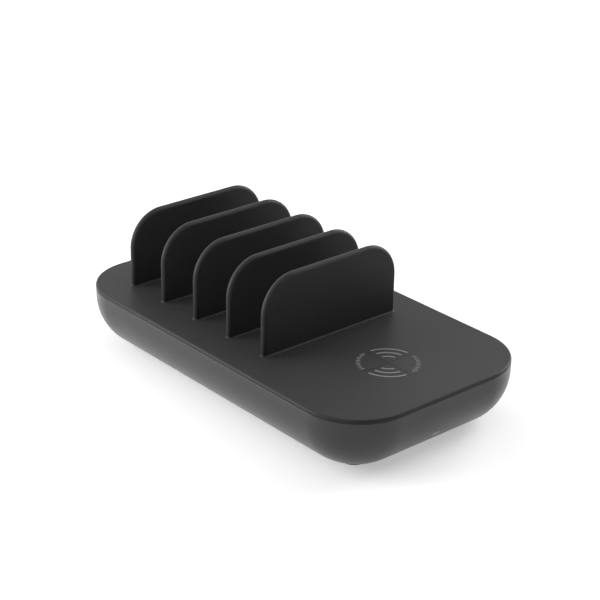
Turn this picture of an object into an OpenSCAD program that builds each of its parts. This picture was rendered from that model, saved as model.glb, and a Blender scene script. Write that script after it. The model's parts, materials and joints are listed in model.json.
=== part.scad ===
// Charging stand: a low rounded base whose top cover carries a row of upright dividers, so that phones and
// tablets stand on edge between them, and a flat pad in front with a charging coil under the cover.
// The feet stand on z = 0 under the middle of the base. The pad end faces -Y and the outlets face +X.

/* [Base] */
// Overall length of the base
base_l = 210; // [160:1:280]
// Overall width of the base
base_w = 116.7; // [114:0.1:140]
// Corner radius of the base seen from above
base_corner_r = 29.7; // [26:0.1:33]
// Height of the lower shell from its underside to the seam
shell_h = 29; // [28.5:0.5:34]
// Height of the upright band of the side just below the seam
side_straight_h = 4; // [3.5:0.5:6]
// How far the edge of the underside stands in from the side
underside_inset = 17.2; // [15:0.1:18]
// Thickness of the lower shell's side
shell_wall = 2.2; // [1.8:0.1:2.6]
// Thickness of the lower shell's floor
shell_floor = 2.4; // [2.2:0.1:2.8]
// Chamfer of both edges that meet at the seam
seam_chamfer = 0.25; // [0.1:0.05:0.4]

/* [Top cover] */
// Height of the cover's side above the seam
cover_edge_h = 2.1; // [1.8:0.1:3]
// Radius of the cover's upper edge
cover_edge_r = 1; // [0.5:0.1:1.3]
// Depth of the lip that locates the cover inside the shell
lip_h = 2.5; // [1.5:0.1:2.8]
// Thickness of the lip
lip_t = 1.4; // [1:0.1:1.8]
// Gap between the lip and the inside of the shell
lip_gap = 0.2; // [0.1:0.05:0.4]

/* [Dividers] */
// Length of a divider across the base
divider_w = 82.7; // [70:0.1:86]
// Height of a divider above the cover
divider_h = 38.2; // [28:0.1:50]
// Thickness of a divider
divider_t = 3.6; // [2.6:0.1:4.4]
// Radius of a divider's two upper corners
divider_corner_r = 18.5; // [8:0.5:24]
// Radius of the fillet round a divider's foot
divider_fillet_r = 2; // [1:0.1:3]
// Distance from one divider to the next; the base carries as many dividers as fit behind the pad
slot_pitch = 25.5; // [24.5:0.1:34]
// Distance of the rearmost divider from the rear end of the base
rear_margin = 27.6; // [26:0.1:32]

/* [Charging pad] */
// Least length of the flat pad, from the front end of the base to the middle of the front divider
pad_l = 80; // [78:0.5:90]
// Distance of the pad's centre from the front end of the base
pad_from_front = 39.3; // [37:0.1:42]
// Outer radius of the charging coil
coil_r = 21.5; // [18:0.1:22]
// Inner radius of the charging coil
coil_bore_r = 10; // [8:0.1:13]
// Thickness of the charging coil
coil_t = 1.5; // [1:0.1:2]
// Radius of the coil's insulated wire, where its two ends come out
coil_wire_r = 0.6; // [0.4:0.1:0.7]
// Side of the square ferrite sheet under the coil
ferrite_side = 45; // [44:0.5:45]
// Thickness of the ferrite sheet
ferrite_t = 0.8; // [0.5:0.1:1.2]
// Side of the square carrier under the ferrite sheet
carrier_side = 54; // [54:0.5:55]
// Thickness of the carrier
carrier_t = 1.8; // [1.4:0.1:2.2]
// Gap between the coil and the underside of the cover
coil_gap = 0.3; // [0.2:0.1:0.6]
// Radii of the printed mark's three pairs of arcs
mark_radii = [6.4, 10.3, 14.1];
// Line width of the printed mark
mark_line_w = 0.9; // [0.5:0.1:1.2]
// Thickness of the print
mark_t = 0.1; // [0.05:0.05:0.2]
// Angle that each arc spans
mark_span = 74; // [50:1:80]
// Direction that the mark faces, counted from +X
mark_turn = 45; // [0:1:90]
// Number of short ticks in each gap between the arcs
mark_ticks = 7; // [3:1:9]
// Length of a tick
mark_tick_l = 1.5; // [0.8:0.1:2]

/* [Indicator light] */
// Width of the light window in the front end
light_w = 4.7; // [3:0.1:6]
// Height of the light window
light_h = 1.3; // [0.8:0.1:1.8]
// Depth of the light window's centre below the seam
light_drop = 18.8; // [18:0.1:19.2]
// Sideways place of the light window
light_x = -2.4; // [-6:0.1:6]
// Height of the light-emitting component behind the window
led_h = 2.2; // [1.6:0.1:2.4]

/* [Outlets and inlet] */
// Number of wide outlets, from the rear; the other slots have oval ones
wide_outlet_count = 2; // [1:1:3]
// Width of a wide outlet's metal shell
wide_w = 13.1; // [12.9:0.1:13.4]
// Height of a wide outlet's metal shell
wide_h = 5.7; // [5.6:0.1:7]
// Length of a wide outlet's metal shell
wide_l = 14; // [13:0.1:15]
// Width of an oval outlet's metal shell
oval_w = 8.9; // [8.8:0.1:9.2]
// Height of an oval outlet's metal shell
oval_h = 3.3; // [3.2:0.1:3.6]
// Length of an oval outlet's metal shell
oval_l = 10.5; // [9:0.1:12]
// Sheet thickness of the outlets' metal shells
outlet_sheet_t = 0.3; // [0.2:0.05:0.4]
// Width of the power inlet's housing
inlet_w = 9; // [8.5:0.1:11]
// Height of the power inlet's housing
inlet_h = 11; // [10.5:0.1:11.2]
// Length of the power inlet's housing
inlet_l = 14.4; // [13:0.1:15]
// Radius of the power inlet's bore
inlet_bore_r = 3.15; // [2.8:0.05:3.5]
// Radius of the power inlet's centre pin
inlet_pin_r = 1; // [0.7:0.05:1.3]
// Height of the power inlet's bore above the board
inlet_bore_h = 6.5; // [6:0.1:7]
// How far the outlets and the inlet stand back from the outside of the shell
outlet_recess = 0.3; // [0.2:0.1:1]

/* [Boards] */
// Thickness of the circuit boards
board_t = 1.6; // [1:0.1:2]
// Height of the posts that carry the main board
main_post_h = 11; // [10.5:0.1:11.5]
// Gap between a board and the inside of the shell
board_gap = 1.2; // [0.8:0.1:2]
// Distance of the main board's left edge from the side of the base
main_left_margin = 14; // [13:0.5:18]
// How far the main board runs forward of the front divider
main_front_run = 5.4; // [5:0.1:6]
// Width of the pad's board
pad_board_w = 44; // [42:1:46]
// Gap between the main board and the pad's board, seen from above
boards_gap = 6; // [5:0.1:7]
// Radius of the posts that carry the boards
post_r = 3; // [2.5:0.1:3.5]
// Gap all round a boss that passes through a board or stands beside one
boss_gap = 0.8; // [0.5:0.1:1.2]

/* [Screws and feet] */
// Radius of a case screw's thread
case_screw_r = 1.5; // [1.25:0.05:1.7]
// Radius of a case screw's head
case_head_r = 2.8; // [2.4:0.1:3]
// Height of a case screw's head
case_head_h = 2; // [1.6:0.1:2.4]
// Length of a case screw under its head
case_screw_l = 14; // [12:0.5:16]
// Height of a case screw's seat above the underside
case_seat_h = 4; // [4:0.1:5]
// Radius of the cover's screw bosses
cover_boss_r = 3.6; // [3.2:0.1:3.8]
// Radius of the shell's screw bosses
shell_boss_r = 4.6; // [4.2:0.1:5]
// Height of the shell's screw bosses above its floor
shell_boss_h = 6.1; // [5.5:0.1:7]
// Radius of a board screw's thread
board_screw_r = 1.1; // [0.9:0.05:1.3]
// Length of a board screw under its head
board_screw_l = 6; // [5:0.5:7]
// Radius of a small screw's head, on the boards and the carrier
small_head_r = 2.1; // [1.8:0.1:2.2]
// Height of a small screw's head
small_head_h = 1.4; // [1:0.1:1.6]
// Radius of a carrier screw's thread
carrier_screw_r = 0.9; // [0.7:0.05:1]
// Radius of the cover's bosses over the carrier
carrier_boss_r = 2.4; // [2:0.1:2.6]
// Radius of a rubber foot
foot_r = 7.5; // [6:0.1:7.8]
// Height that a foot stands proud of the underside
foot_proud = 1.5; // [1:0.1:3]
// Depth of the recess that a foot sits in
foot_recess = 1; // [0.6:0.1:1.2]
// Distance of a foot from the edge of the underside
foot_margin = 2; // [1.8:0.1:4]

/* [Fits] */
// Clearance of a port or a window in its cut-out, on each side
port_clear = 0.3; // [0.2:0.05:0.5]
// Clearance of a screw in a plain hole, on the radius
hole_clear = 0.2; // [0.1:0.05:0.3]
// Clearance of a thread in its pilot hole, on the radius
thread_clear = 0.05; // [0.03:0.01:0.08]
// Clearance of a pressed or glued piece in its recess, on each side
seat_clear = 0.1; // [0.05:0.05:0.2]

/* [Hidden] */
$fn = 96;
// Overrun of a cut past a face, and of a piece into the one that it is moulded with
cut = 0.5;
// Heights from the surface that the stand rests on
shell_z = foot_proud;
floor_z = shell_z + shell_floor;
seam_z = shell_z + shell_h;
side_z = seam_z - side_straight_h;
top_z = seam_z + cover_edge_h;
// Radius of the flank, a round that starts upright under the straight band and ends at the underside
flank_h = shell_h - side_straight_h;
flank_r = (flank_h * flank_h + underside_inset * underside_inset) / (2 * underside_inset);
// Dividers and the slots between them, from the rear. A divider's upright part ends at its shoulder, and
// its rounded corners start there
divider_bury = cover_edge_h / 2;
upright_z = top_z - divider_bury;
upright_h = divider_bury + divider_h - divider_corner_r;
shoulder_z = upright_z + upright_h;
slot_count = floor((base_l - rear_margin - pad_l) / slot_pitch);
oval_outlet_count = slot_count - wide_outlet_count;
cove_steps = 5;
cove_bury_share = 0.5;
// Feet and the screw bosses above them
foot_x = base_w / 2 - underside_inset - foot_margin - foot_r;
foot_y = base_l / 2 - underside_inset - foot_margin - foot_r;
foot_edge = foot_proud / 3;
boss_places = [
    [-foot_x, -foot_y], [foot_x, -foot_y], [-foot_x, mid_boss_y()],
    [foot_x, mid_boss_y()], [-foot_x, foot_y], [foot_x, foot_y]
];
boss_split_z = floor_z + shell_boss_h;
case_seat_z = shell_z + case_seat_h;
case_pilot_top_z = case_seat_z + case_screw_l + cut;
recess_w_share = 0.28;
// Coil stack hung under the cover
pad_y = -base_l / 2 + pad_from_front;
coil_z = seam_z - coil_gap - coil_t;
ferrite_z = coil_z - ferrite_t;
carrier_z = ferrite_z - carrier_t;
carrier_screw_at = carrier_side / 2 - carrier_boss_r;
carrier_screw_l = carrier_t + (seam_z - ferrite_z) + cover_edge_h / 2;
carrier_corner_r = carrier_boss_r;
coil_end_x = 2.5;
coil_end_gap = 2;
coil_bend_r = 1.6;
coil_end_out = ferrite_side / 2 + coil_end_gap;
coil_notch_w = 2 * (coil_end_x + coil_wire_r + boss_gap);
// Printed mark
mark_tick_step = 9;
mark_tick_r = mark_radii[2] - mark_line_w;
mark_tick_w = mark_line_w * 0.6;
// Main board, its posts and what stands on it
main_z = floor_z + main_post_h;
main_top_z = main_z + board_t;
main_right_x = inside_x(main_z) - board_gap;
main_left_x = -base_w / 2 + main_left_margin;
main_rear_y = foot_y - cover_boss_r - board_gap;
main_front_y = divider_y(slot_count) - main_front_run;
main_tab_rear_y = inside_y(main_z) - board_gap;
main_tab_w = inlet_w + 2 * board_gap;
post_x = foot_x - shell_boss_r - post_r - board_gap;
main_post_places = [
    [-post_x, divider_y(1)], [post_x, divider_y(1)],
    [-post_x, main_front_y + post_r + board_gap], [post_x, main_front_y + post_r + board_gap]
];
outlet_x = outside_x(main_top_z) - outlet_recess;
component_gap = 2;
capacitor_r = 3.15;
capacitor_h = 8;
capacitor_x = outlet_x - wide_l - capacitor_r - component_gap;
inductor_w = 7;
inductor_h = 4.5;
inductor_x = capacitor_x - capacitor_r - inductor_w / 2 - component_gap;
chip_w = 5;
chip_h = 0.9;
chip_x = inductor_x - inductor_w / 2 - chip_w / 2 - component_gap;
main_chip_w = 9;
main_chip_y = (main_front_y + main_rear_y) / 2;
input_capacitor_r = 5;
input_capacitor_h = 12.5;
input_capacitor_x = -main_tab_w / 2 - input_capacitor_r - component_gap;
input_capacitor_pitch = 2 * input_capacitor_r + component_gap;
input_capacitor_y = main_rear_y - input_capacitor_r - component_gap;
groove_w = 0.5;
groove_t = 0.25;
inlet_y = outside_y(main_top_z) - outlet_recess;
inlet_bore_l = 9.5;
inlet_bore_z = main_top_z + inlet_bore_h;
wide_insert_back = 4.5;
wide_tongue_w = 11.1;
wide_tongue_t = 1.84;
wide_tongue_drop = 0.9;
wide_tongue_back = 1;
oval_insert_back = 4;
oval_tongue_w = 6.7;
oval_tongue_t = 0.7;
oval_tongue_back = 1.2;
// Pad board, level with the light window, and what stands on it
light_z = seam_z - light_drop;
pad_top_z = light_z - led_h / 2;
pad_board_z = pad_top_z - board_t;
pad_front_y = -inside_y(pad_board_z) + board_gap;
pad_rear_y = main_front_y - boards_gap;
pad_post_x = pad_board_w / 2 - post_r - board_gap;
pad_post_from_front = 8;
pad_post_front_y = pad_front_y + pad_post_from_front;
pad_post_rear_y = pad_rear_y - post_r - board_gap;
pad_post_places = [
    [-pad_post_x, pad_post_front_y], [pad_post_x, pad_post_front_y],
    [-pad_post_x, pad_post_rear_y], [pad_post_x, pad_post_rear_y]
];
led_w = 4;
led_t = 1.6;
lens_shoulder = 1.2;
lens_shoulder_t = 1.4;
pad_chip_w = 6;
pad_chip_x = 8;
pad_capacitor_w = 3.2;
pad_capacitor_h = 1.6;
pad_capacitor_count = 4;
// Ribbon from the main board to the pad board
link_w = 8;
link_d = 4;
link_h = 4.6;
link_edge = 1;
ribbon_w = 6;
ribbon_t = 0.9;
main_link_y = main_front_y + link_edge;
pad_link_y = pad_rear_y - link_d - link_edge;
ribbon_high_z = main_top_z + link_h / 2;
ribbon_low_z = pad_top_z + link_h / 2;
ribbon_r = (ribbon_high_z - ribbon_low_z) / 2;
ribbon_mid_y = (main_link_y + pad_link_y + link_d) / 2;

// Distance that a surface inset by wall_in has moved in from the side of the base at height z
function flank_in(wall_in, z) =
    z >= side_z ? wall_in : flank_r - sqrt(pow(flank_r - wall_in, 2) - pow(side_z - z, 2));
function inside_x(z) = base_w / 2 - flank_in(shell_wall, z);
function inside_y(z) = base_l / 2 - flank_in(shell_wall, z);
function outside_x(z) = base_w / 2 - flank_in(0, z);
function outside_y(z) = base_l / 2 - flank_in(0, z);
function divider_y(i) = base_l / 2 - rear_margin - i * slot_pitch;
function slot_y(i) = divider_y(i) - slot_pitch / 2;
function mid_boss_y() = divider_y(slot_count - 1);
// A hollow round between a floor and a wall that meet at the origin, run a little way into both
function cove(r) = concat(
    [for (k = [0:cove_steps]) [r - r * sin(90 * k / cove_steps), r - r * cos(90 * k / cove_steps)]],
    [[-r * cove_bury_share, r], [-r * cove_bury_share, -r * cove_bury_share], [r, -r * cove_bury_share]]
);

// A solid with the plan of the base. The child is its edge in section: x outwards from the axis of a
// corner, y upwards
module base_block(low_z, high_z) {
    core_x = base_w / 2 - base_corner_r;
    core_y = base_l / 2 - base_corner_r;
    translate([-core_x, -core_y, low_z])
        cube([2 * core_x, 2 * core_y, high_z - low_z]);
    for (turn = [0:3]) {
        out = turn % 2 == 0 ? core_x : core_y;
        half = turn % 2 == 0 ? core_y : core_x;
        rotate(90 * turn)
            translate([out, half, 0]) {
                rotate([90, 0, 0])
                    linear_extrude(2 * half)
                        children();
                rotate_extrude(angle = 90)
                    children();
            }
    }
}

// Section of the lower shell's edge, moved in by inset
module shell_edge(inset, low_z, high_z, chamfer) {
    side_x = base_corner_r - inset;
    polygon([
        [0, side_z], [side_x, side_z], [side_x, high_z - chamfer], [side_x - chamfer, high_z], [0, high_z]
    ]);
    intersection() {
        translate([base_corner_r - flank_r, side_z])
            circle(flank_r - inset);
        translate([0, low_z])
            square([base_corner_r, side_z - low_z]);
    }
}

// Section of the cover's edge
module cover_edge() {
    round_z = top_z - cover_edge_r;
    round_x = base_corner_r - cover_edge_r;
    polygon([
        [0, seam_z], [base_corner_r - seam_chamfer, seam_z], [base_corner_r, seam_z + seam_chamfer],
        [base_corner_r, round_z], [0, round_z]
    ]);
    translate([0, round_z])
        square([round_x, cover_edge_r]);
    intersection() {
        translate([round_x, round_z])
            circle(cover_edge_r);
        translate([round_x, round_z])
            square(cover_edge_r);
    }
}

// A flat rectangle with round corners, centred
module rounded_rect(l, w, r) {
    square([w - 2 * r, l], center = true);
    square([w, l - 2 * r], center = true);
    for (sx = [-1, 1], sy = [-1, 1])
        translate([sx * (w / 2 - r), sy * (l / 2 - r)])
            circle(r);
}

// A flat bar with two round ends, centred, w long and t wide
module stadium(w, t) {
    square([w - t, t], center = true);
    for (side = [-1, 1])
        translate([side * (w - t) / 2, 0])
            circle(t / 2);
}

// Section of a divider's rounded rim: x across its thickness, y out to the rim
module divider_rim() {
    translate([-divider_t / 2, 0])
        square([divider_t, divider_corner_r - divider_t / 2]);
    translate([0, divider_corner_r - divider_t / 2])
        circle(divider_t / 2);
}

// One upright divider with its rim rounded right round and a hollow round at its foot
module divider() {
    half_flat = divider_w / 2 - divider_corner_r;
    end_x = (divider_w - divider_t) / 2;
    translate([0, 0, upright_z])
        linear_extrude(upright_h)
            stadium(divider_w, divider_t);
    translate([-half_flat, 0, shoulder_z])
        rotate([90, 0, 90])
            linear_extrude(2 * half_flat)
                divider_rim();
    for (side = [0, 1])
        translate([(1 - 2 * side) * half_flat, 0, shoulder_z])
            rotate([90, 0, 0])
                rotate(90 * side)
                    rotate_extrude(angle = 90)
                        rotate(-90)
                            divider_rim();
    for (side = [-1, 1]) {
        rotate([90, 0, 90 * side])
            translate([divider_t / 2, top_z, -end_x])
                linear_extrude(2 * end_x)
                    polygon(cove(divider_fillet_r));
        translate([side * end_x, 0, top_z])
            rotate(-90 * side)
                rotate_extrude(angle = 180)
                    translate([divider_t / 2, 0])
                        polygon(cove(divider_fillet_r));
    }
}

module top_cover() {
    lip_in = shell_wall + lip_gap;
    color([0.25, 0.25, 0.25])
        difference() {
            union() {
                base_block(seam_z, top_z)
                    cover_edge();
                for (i = [0:slot_count])
                    translate([0, divider_y(i), 0])
                        divider();
                translate([0, 0, seam_z - lip_h])
                    linear_extrude(lip_h + cut)
                        difference() {
                            rounded_rect(base_l - 2 * lip_in, base_w - 2 * lip_in, base_corner_r - lip_in);
                            rounded_rect(
                                base_l - 2 * (lip_in + lip_t),
                                base_w - 2 * (lip_in + lip_t),
                                base_corner_r - lip_in - lip_t
                            );
                        }
                for (at = boss_places)
                    translate([at[0], at[1], boss_split_z])
                        cylinder(h = seam_z - boss_split_z + cut, r = cover_boss_r);
                for (sx = [-1, 1], sy = [-1, 1])
                    translate([sx * carrier_screw_at, pad_y + sy * carrier_screw_at, ferrite_z])
                        cylinder(h = seam_z - ferrite_z + cut, r = carrier_boss_r);
            }
            for (at = boss_places)
                translate([at[0], at[1], boss_split_z - cut])
                    cylinder(h = case_pilot_top_z - boss_split_z + cut, r = case_screw_r + thread_clear);
            for (sx = [-1, 1], sy = [-1, 1])
                translate([sx * carrier_screw_at, pad_y + sy * carrier_screw_at, ferrite_z - cut])
                    cylinder(
                        h = cut + carrier_screw_l - carrier_t + thread_clear,
                        r = carrier_screw_r + thread_clear
                    );
        }
}

// The opening in the right side for an outlet w wide and h high that stands on the main board
module outlet_window(w, h) {
    translate([outlet_x - wide_l, -w / 2 - port_clear, main_top_z - port_clear])
        cube([wide_l + base_w / 2, w + 2 * port_clear, h + 2 * port_clear]);
}

module lower_shell() {
    color([0.42, 0.42, 0.42])
        difference() {
            union() {
                difference() {
                    base_block(shell_z, seam_z)
                        shell_edge(0, shell_z, seam_z, seam_chamfer);
                    base_block(floor_z, seam_z + cut)
                        shell_edge(shell_wall, floor_z, seam_z + cut, 0);
                }
                for (at = boss_places)
                    translate([at[0], at[1], floor_z - cut])
                        cylinder(h = shell_boss_h + cut, r = shell_boss_r);
                for (at = main_post_places)
                    translate([at[0], at[1], floor_z - cut])
                        cylinder(h = main_post_h + cut, r = post_r);
                for (at = pad_post_places)
                    translate([at[0], at[1], floor_z - cut])
                        cylinder(h = pad_board_z - floor_z + cut, r = post_r);
            }
            for (at = boss_places)
                translate([at[0], at[1], shell_z - cut]) {
                    cylinder(h = case_seat_h + cut, r = case_head_r + hole_clear);
                    cylinder(h = boss_split_z - shell_z + 2 * cut, r = case_screw_r + hole_clear);
                }
            for (at = main_post_places)
                translate([at[0], at[1], main_top_z - board_screw_l - cut])
                    cylinder(h = board_screw_l + cut, r = board_screw_r + thread_clear);
            for (at = pad_post_places)
                translate([at[0], at[1], pad_top_z - board_screw_l - thread_clear])
                    cylinder(h = board_screw_l + thread_clear, r = board_screw_r + thread_clear);
            for (sx = [-1, 1], sy = [-1, 1])
                translate([sx * foot_x, sy * foot_y, shell_z - cut])
                    cylinder(h = foot_recess + cut, r = foot_r + seat_clear);
            for (i = [0:slot_count - 1])
                translate([0, slot_y(i), 0])
                    if (i < wide_outlet_count)
                        outlet_window(wide_w, wide_h);
                    else
                        outlet_window(oval_w, oval_h);
            translate([-inlet_w / 2 - port_clear, inlet_y - inlet_l, main_top_z - port_clear])
                cube([inlet_w + 2 * port_clear, inlet_l + base_l / 2, inlet_h + 2 * port_clear]);
            translate([light_x - light_w / 2 - seat_clear, -base_l / 2, light_z - light_h / 2 - seat_clear])
                cube([light_w + 2 * seat_clear, base_l / 4, light_h + 2 * seat_clear]);
        }
}

module pad_mark() {
    color([0.55, 0.55, 0.55])
        translate([0, pad_y, top_z]) {
            for (r = mark_radii, side = [0, 180])
                rotate(mark_turn + side - mark_span / 2)
                    rotate_extrude(angle = mark_span)
                        translate([r - mark_line_w / 2, 0])
                            square([mark_line_w, mark_t]);
            for (k = [0:mark_ticks - 1], side = [90, 270])
                rotate(mark_turn + side + (k - (mark_ticks - 1) / 2) * mark_tick_step)
                    translate([mark_tick_r - mark_tick_l / 2, -mark_tick_w / 2, 0])
                        cube([mark_tick_l, mark_tick_w, mark_t]);
        }
}

// The shell's front flank as a solid behind it, moved in by inset and w wide
module front_flank(inset, w) {
    translate([light_x - w / 2, -base_l / 2 + base_corner_r, 0])
        rotate([90, 0, -90])
            translate([0, 0, -w])
                linear_extrude(w)
                    shell_edge(inset, shell_z, seam_z, 0);
}

module indicator_lens() {
    shoulder_w = light_w + 2 * lens_shoulder;
    shoulder_h = light_h + 2 * lens_shoulder;
    shoulder_y = -inside_y(light_z - shoulder_h / 2) + lens_shoulder_t;
    back_y = pad_front_y - port_clear;
    color([0.85, 0.87, 0.88])
        union() {
            intersection() {
                translate([light_x - light_w / 2, -base_l / 2, light_z - light_h / 2])
                    cube([light_w, back_y + base_l / 2, light_h]);
                front_flank(0, 2 * light_w);
            }
            intersection() {
                translate([light_x - shoulder_w / 2, -base_l / 2, light_z - shoulder_h / 2])
                    cube([shoulder_w, shoulder_y + base_l / 2, shoulder_h]);
                front_flank(shell_wall + seat_clear, 2 * shoulder_w);
            }
        }
}

module indicator_led() {
    color([0.9, 0.9, 0.8])
        translate([light_x - led_w / 2, pad_front_y, pad_top_z])
            cube([led_w, led_t, led_h]);
}

// A board with its screw holes: the child is its outline
module board(z, places) {
    color([0.1, 0.35, 0.2])
        translate([0, 0, z])
            linear_extrude(board_t)
                difference() {
                    children();
                    for (at = places)
                        translate(at)
                            circle(board_screw_r + hole_clear);
                }
}

// The room round the bosses, seen from above
module boss_room(r) {
    for (at = boss_places)
        translate(at)
            circle(r + boss_gap);
}

module main_board() {
    board(main_z, main_post_places)
        difference() {
            union() {
                translate([main_left_x, main_front_y])
                    square([main_right_x - main_left_x, main_rear_y - main_front_y]);
                translate([-main_tab_w / 2, main_rear_y - board_gap])
                    square([main_tab_w, main_tab_rear_y - main_rear_y + board_gap]);
            }
            boss_room(cover_boss_r);
        }
}

module pad_board() {
    board(pad_board_z, pad_post_places)
        difference() {
            translate([-pad_board_w / 2, pad_front_y])
                square([pad_board_w, pad_rear_y - pad_front_y]);
            boss_room(shell_boss_r);
        }
}

module wide_outlet_shell(i) {
    color("silver")
        translate([outlet_x - wide_l, slot_y(i) - wide_w / 2, main_top_z])
            difference() {
                cube([wide_l, wide_w, wide_h]);
                translate([outlet_sheet_t, outlet_sheet_t, outlet_sheet_t])
                    cube([wide_l, wide_w - 2 * outlet_sheet_t, wide_h - 2 * outlet_sheet_t]);
            }
}

module wide_outlet_insert(i) {
    color([0.12, 0.12, 0.12])
        translate([outlet_x - wide_l + outlet_sheet_t, slot_y(i), main_top_z + outlet_sheet_t]) {
            translate([0, -wide_w / 2 + outlet_sheet_t, 0])
                cube([wide_insert_back, wide_w - 2 * outlet_sheet_t, wide_h - 2 * outlet_sheet_t]);
            translate([0, -wide_tongue_w / 2, wide_h - 2 * outlet_sheet_t - wide_tongue_drop - wide_tongue_t])
                cube([wide_l - outlet_sheet_t - wide_tongue_back, wide_tongue_w, wide_tongue_t]);
        }
}

module oval_outlet_shell(i) {
    color("silver")
        translate([outlet_x - oval_l, slot_y(i), main_top_z + oval_h / 2])
            rotate([90, 0, 90])
                linear_extrude(oval_l)
                    difference() {
                        stadium(oval_w, oval_h);
                        stadium(oval_w - 2 * outlet_sheet_t, oval_h - 2 * outlet_sheet_t);
                    }
}

module oval_outlet_insert(i) {
    color([0.12, 0.12, 0.12])
        translate([outlet_x - oval_l, slot_y(i), main_top_z + oval_h / 2])
            rotate([90, 0, 90]) {
                linear_extrude(oval_insert_back)
                    stadium(oval_w - 2 * outlet_sheet_t, oval_h - 2 * outlet_sheet_t);
                linear_extrude(oval_l - oval_tongue_back)
                    square([oval_tongue_w, oval_tongue_t], center = true);
            }
}

module power_inlet_housing() {
    color([0.12, 0.12, 0.12])
        difference() {
            translate([-inlet_w / 2, inlet_y - inlet_l, main_top_z])
                cube([inlet_w, inlet_l, inlet_h]);
            translate([0, inlet_y - inlet_bore_l, inlet_bore_z])
                rotate([-90, 0, 0])
                    cylinder(h = inlet_bore_l + cut, r = inlet_bore_r);
            translate([0, inlet_y - inlet_l - cut, inlet_bore_z])
                rotate([-90, 0, 0])
                    cylinder(h = inlet_l, r = inlet_pin_r + thread_clear);
        }
}

module power_inlet_pin() {
    color("silver")
        translate([0, inlet_y - inlet_l, inlet_bore_z])
            rotate([-90, 0, 0]) {
                cylinder(h = inlet_l - inlet_pin_r, r = inlet_pin_r);
                translate([0, 0, -outlet_sheet_t])
                    cylinder(h = outlet_sheet_t, r = 2 * inlet_pin_r);
            }
}

// An upright can with a groove round its lower end
module can(r, h) {
    rotate_extrude()
        polygon([
            [0, 0], [r, 0], [r, groove_w], [r - groove_t, groove_w + groove_t],
            [r - groove_t, 2 * groove_w + groove_t], [r, 2 * (groove_w + groove_t)],
            [r, h - groove_t], [r - groove_t, h], [0, h]
        ]);
}

module input_capacitor(i) {
    color([0.15, 0.2, 0.35])
        translate([input_capacitor_x - i * input_capacitor_pitch, input_capacitor_y, main_top_z])
            can(input_capacitor_r, input_capacitor_h);
}

module output_capacitor(i) {
    color([0.7, 0.7, 0.72])
        translate([capacitor_x, slot_y(i), main_top_z])
            can(capacitor_r, capacitor_h);
}

module inductor(i) {
    color([0.3, 0.3, 0.32])
        translate([inductor_x, slot_y(i), main_top_z])
            linear_extrude(inductor_h)
                rounded_rect(inductor_w, inductor_w, inductor_w / 5);
}

module control_chips() {
    color([0.08, 0.08, 0.08]) {
        for (i = [0:slot_count - 1])
            translate([chip_x - chip_w / 2, slot_y(i) - chip_w / 2, main_top_z])
                cube([chip_w, chip_w, chip_h]);
        translate([-main_chip_w / 2, main_chip_y - main_chip_w / 2, main_top_z])
            cube([main_chip_w, main_chip_w, chip_h]);
    }
}

module pad_chips() {
    color([0.08, 0.08, 0.08]) {
        translate([pad_chip_x - pad_chip_w / 2, pad_y - pad_chip_w / 2, pad_top_z])
            cube([pad_chip_w, pad_chip_w, chip_h]);
        for (k = [0:pad_capacitor_count - 1])
            translate([
                -pad_chip_x - pad_capacitor_w / 2,
                pad_y + (2 * k - pad_capacitor_count + 1 / 2) * pad_capacitor_w,
                pad_top_z
            ])
                cube([pad_capacitor_w, pad_capacitor_w, pad_capacitor_h]);
    }
}

// A socket on a board, whose side the ribbon comes out of at half its height
module link_socket(y, z) {
    color([0.9, 0.9, 0.85])
        translate([-link_w / 2, y, z])
            cube([link_w, link_d, link_h]);
}

// A quarter turn of the ribbon's section about its own centre
module ribbon_bend() {
    intersection() {
        difference() {
            circle(ribbon_r + ribbon_t / 2);
            circle(ribbon_r - ribbon_t / 2);
        }
        square(2 * ribbon_r);
    }
}

module link_ribbon() {
    high_l = main_link_y - ribbon_mid_y - ribbon_r;
    low_l = ribbon_mid_y - ribbon_r - pad_link_y - link_d;
    mid_z = (ribbon_high_z + ribbon_low_z) / 2;
    color([0.85, 0.85, 0.82])
        translate([-ribbon_w / 2, 0, 0])
            rotate([90, 0, 90])
                linear_extrude(ribbon_w) {
                    translate([ribbon_mid_y + ribbon_r, ribbon_high_z - ribbon_t / 2])
                        square([high_l, ribbon_t]);
                    translate([ribbon_mid_y + ribbon_r, mid_z])
                        rotate(90)
                            ribbon_bend();
                    translate([ribbon_mid_y - ribbon_r, mid_z])
                        rotate(-90)
                            ribbon_bend();
                    translate([ribbon_mid_y - ribbon_r - low_l, ribbon_low_z - ribbon_t / 2])
                        square([low_l, ribbon_t]);
                }
}

// One end of the coil's wire: forward over the ferrite and down to the pad's board
module coil_end(side) {
    wire_z = coil_z + coil_t / 2;
    start_y = pad_y - coil_r + 2 * coil_wire_r;
    end_y = pad_y - coil_end_out;
    bend_y = end_y + coil_bend_r;
    translate([side * coil_end_x, start_y, wire_z])
        rotate([90, 0, 0])
            cylinder(h = start_y - bend_y, r = coil_wire_r);
    translate([side * coil_end_x, bend_y, wire_z - coil_bend_r])
        rotate([90, 0, -90])
            rotate_extrude(angle = 90)
                translate([coil_bend_r, 0])
                    circle(coil_wire_r);
    translate([side * coil_end_x, end_y, pad_top_z])
        cylinder(h = wire_z - coil_bend_r - pad_top_z, r = coil_wire_r);
}

module charging_coil() {
    color([0.72, 0.4, 0.2])
        union() {
            translate([0, pad_y, coil_z])
                difference() {
                    cylinder(h = coil_t, r = coil_r);
                    translate([0, 0, -cut])
                        cylinder(h = coil_t + 2 * cut, r = coil_bore_r);
                }
            coil_end(-1);
            coil_end(1);
        }
}

module ferrite_sheet() {
    color([0.2, 0.2, 0.2])
        translate([0, 0, ferrite_z])
            linear_extrude(ferrite_t)
                difference() {
                    translate([0, pad_y])
                        square(ferrite_side, center = true);
                    boss_room(cover_boss_r);
                }
}

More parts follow.
